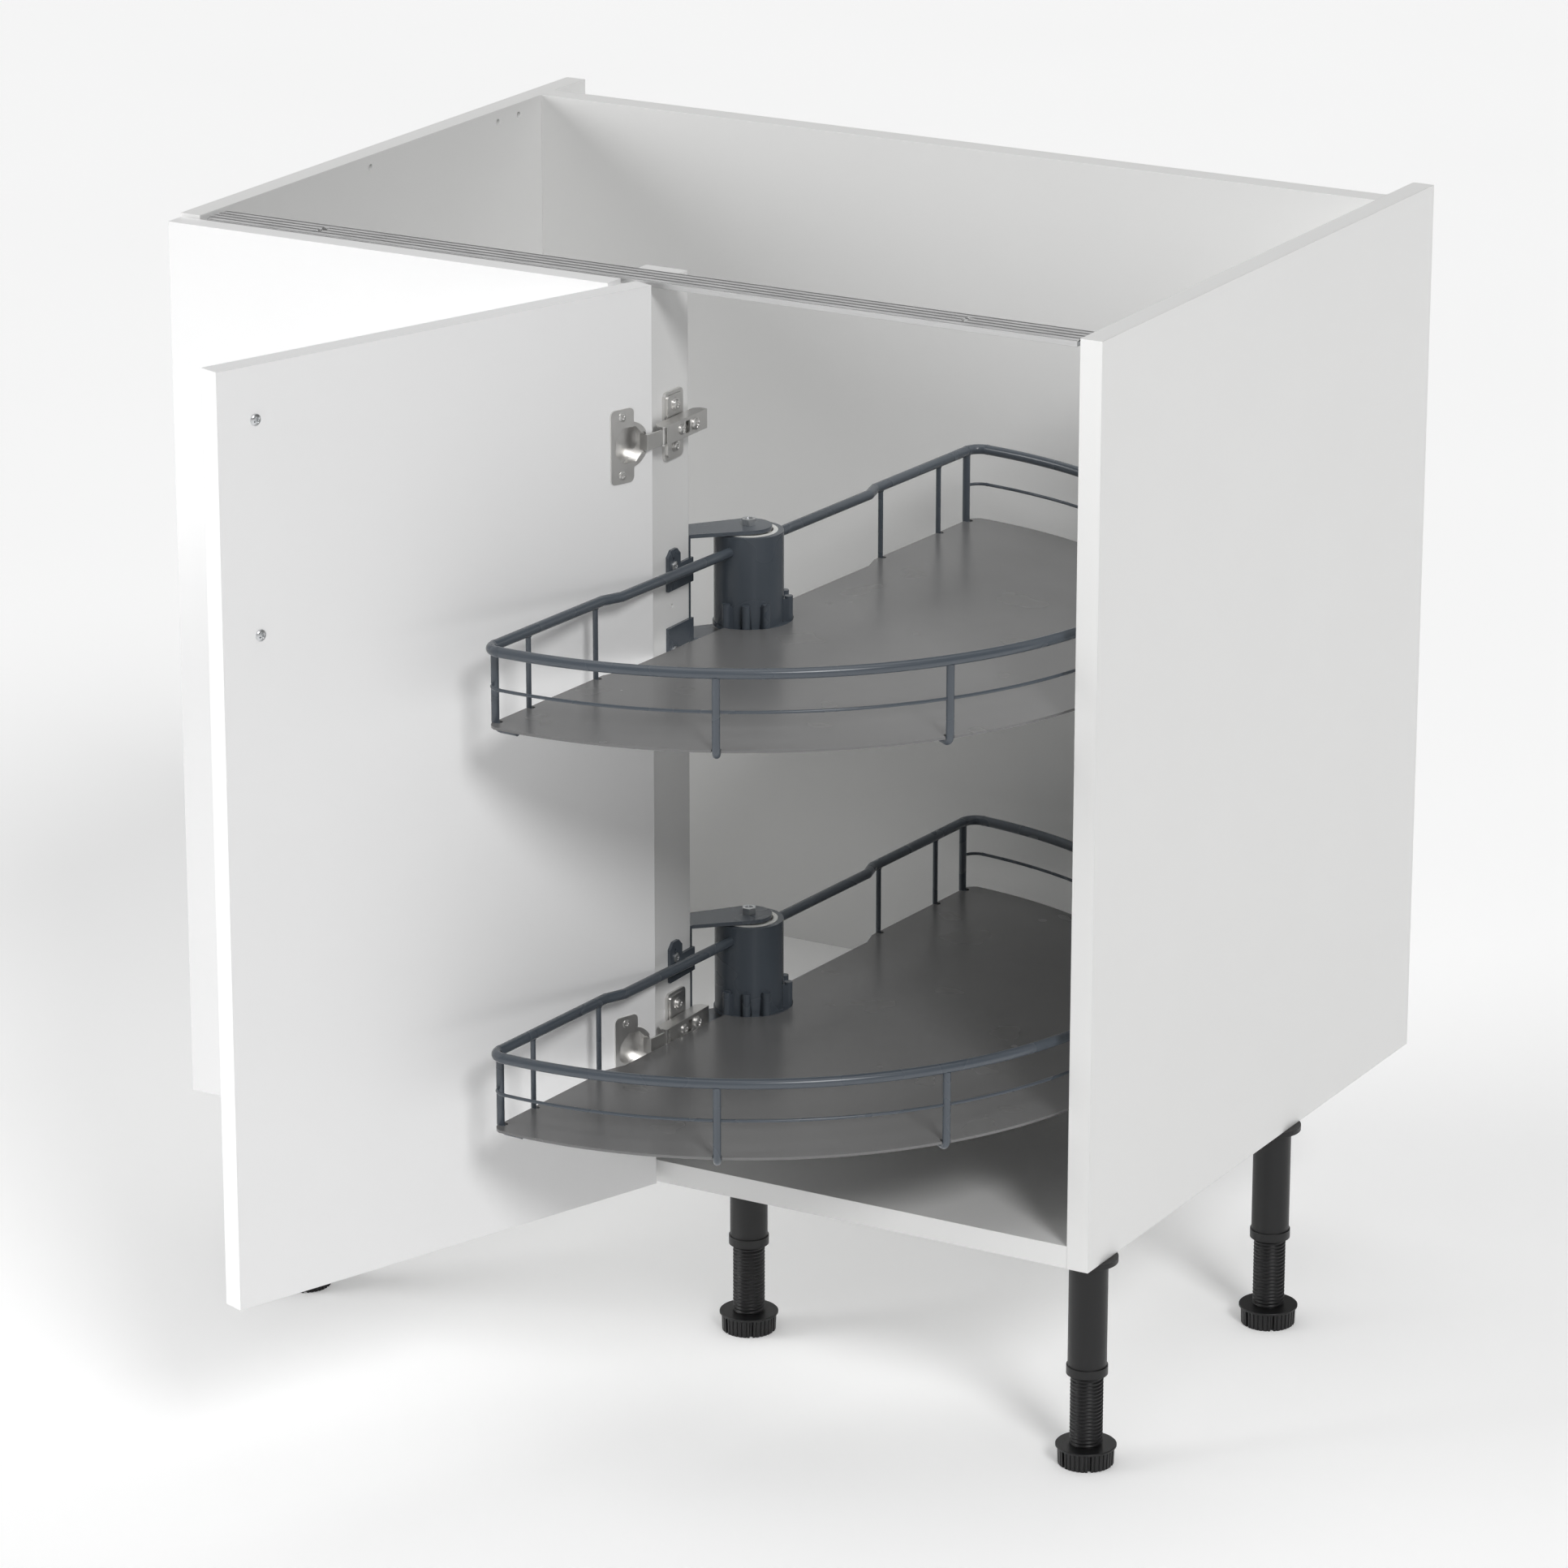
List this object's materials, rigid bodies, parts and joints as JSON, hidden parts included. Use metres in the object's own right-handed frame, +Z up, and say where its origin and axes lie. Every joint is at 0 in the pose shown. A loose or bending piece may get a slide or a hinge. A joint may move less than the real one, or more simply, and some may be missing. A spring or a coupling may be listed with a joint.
{
  "type": "corner carousel cabinet",
  "caption": "Corner base cabinet on screw feet, with a blind front, a hinged door and half-moon wire-railed shelves that turn out through the door opening.",
  "frame": {"origin": "on the floor, half way along the cabinet, below the front edges of the side panels", "axes": "+Z up, the door and blind front face -Y, +X to the right as seen from the front"},
  "size_m": [0.8075, 0.9512, 0.89],
  "materials": {
    "carcass_board": "white melamine, satin",
    "front_board": "white melamine, satin",
    "dowel_beech": "plain turned beech",
    "rail_metal": "brushed, ribbed",
    "zinc_steel": "bright zinc plated",
    "hinge_nickel": "nickel plated",
    "handle_steel": "brushed",
    "slate_coating": "fine satin powder coat",
    "shelf_coating": "fine satin powder coat",
    "bush_plastic": "satin moulded",
    "leg_plastic": "satin moulded"
  },
  "bodies": {
    "carcass": {"left_side_panel": "carcass_board", "right_side_panel": "carcass_board", "bottom_panel": "carcass_board", "back_panel": "carcass_board", "upper_back_rail": "carcass_board", "lower_back_rail": "carcass_board", "post_blind_board": "carcass_board", "post_hinge_board": "carcass_board", "blind_front": "front_board", "carcass_dowels": "dowel_beech", "front_rail": "rail_metal", "rail_end_blocks": "zinc_steel", "post_screws": "zinc_steel", "blind_front_brackets": "zinc_steel", "blind_front_screws": "zinc_steel", "bracket_screws": "zinc_steel", "spindle_bolts": "zinc_steel", "spindles": "zinc_steel", "leg_screws": "zinc_steel", "hinge_plates": "hinge_nickel", "hinge_plate_screws": "hinge_nickel", "hinge_arms": "hinge_nickel", "hinge_arm_screws": "hinge_nickel", "hinge_link_pins": "hinge_nickel", "upper_carousel_bracket": "slate_coating", "lower_carousel_bracket": "slate_coating", "leg_front_left": "leg_plastic", "leg_front_right": "leg_plastic", "leg_rear_left": "leg_plastic", "leg_rear_right": "leg_plastic", "leg_middle": "leg_plastic"},
    "door": {"door_panel": "front_board", "door_handle": "handle_steel", "handle_screws": "zinc_steel", "upper_hinge_cup": "hinge_nickel", "lower_hinge_cup": "hinge_nickel", "hinge_cup_screws": "hinge_nickel"},
    "upper_link": {"upper_hinge_link": "hinge_nickel"},
    "lower_link": {"lower_hinge_link": "hinge_nickel"},
    "upper_shelf": {"upper_shelf_sheet": "shelf_coating", "upper_shelf_rail": "slate_coating", "upper_shelf_posts": "slate_coating", "upper_shelf_wire": "slate_coating", "upper_shelf_hub": "slate_coating", "upper_hub_flange": "slate_coating", "upper_hub_bushes": "bush_plastic", "upper_hub_screws": "slate_coating"},
    "lower_shelf": {"lower_shelf_sheet": "shelf_coating", "lower_shelf_rail": "slate_coating", "lower_shelf_posts": "slate_coating", "lower_shelf_wire": "slate_coating", "lower_shelf_hub": "slate_coating", "lower_hub_flange": "slate_coating", "lower_hub_bushes": "bush_plastic", "lower_hub_screws": "slate_coating"},
    "foot_front_left": {"foot_front_left": "leg_plastic"},
    "foot_front_right": {"foot_front_right": "leg_plastic"},
    "foot_rear_left": {"foot_rear_left": "leg_plastic"},
    "foot_rear_right": {"foot_rear_right": "leg_plastic"},
    "foot_middle": {"foot_middle": "leg_plastic"}
  },
  "joints": [
    {"name": "door_swing", "type": "hinge", "parent": "carcass", "child": "door", "pos_m": [0.013, -0.015, 0.53], "axis": [0, 0, 1], "range_deg": [0, 110]},
    {"name": "upper_shelf_turn", "type": "hinge", "parent": "carcass", "child": "upper_shelf", "pos_m": [0.042, 0.112, 0.601], "axis": [0, 0, 1], "range_deg": [0, 94.01]},
    {"name": "lower_shelf_turn", "type": "hinge", "parent": "carcass", "child": "lower_shelf", "pos_m": [0.042, 0.112, 0.286], "axis": [0, 0, 1], "range_deg": [0, 94.01]},
    {"name": "upper_link_turn", "type": "hinge", "parent": "carcass", "child": "upper_link", "pos_m": [0.0306, 0.0035, 0.769], "axis": [0, 0, 1], "range_deg": [-44.01, 0]},
    {"name": "lower_link_turn", "type": "hinge", "parent": "carcass", "child": "lower_link", "pos_m": [0.0306, 0.0035, 0.289], "axis": [0, 0, 1], "range_deg": [-44.01, 0]},
    {"name": "foot_front_left_screw", "type": "slide", "parent": "carcass", "child": "foot_front_left", "axis": [0, 0, 1], "range_m": [-0.015, 0.02]},
    {"name": "foot_front_right_screw", "type": "slide", "parent": "carcass", "child": "foot_front_right", "axis": [0, 0, 1], "range_m": [-0.015, 0.02]},
    {"name": "foot_rear_left_screw", "type": "slide", "parent": "carcass", "child": "foot_rear_left", "axis": [0, 0, 1], "range_m": [-0.015, 0.02]},
    {"name": "foot_rear_right_screw", "type": "slide", "parent": "carcass", "child": "foot_rear_right", "axis": [0, 0, 1], "range_m": [-0.015, 0.02]},
    {"name": "foot_middle_screw", "type": "slide", "parent": "carcass", "child": "foot_middle", "axis": [0, 0, 1], "range_m": [-0.015, 0.02]}
  ],
  "couplings": [
    {"joint": "upper_shelf_turn", "follows": "door_swing", "ratio": 0.85454},
    {"joint": "lower_shelf_turn", "follows": "door_swing", "ratio": 0.85454},
    {"joint": "upper_link_turn", "follows": "door_swing", "ratio": -0.4},
    {"joint": "lower_link_turn", "follows": "door_swing", "ratio": -0.4}
  ]
}
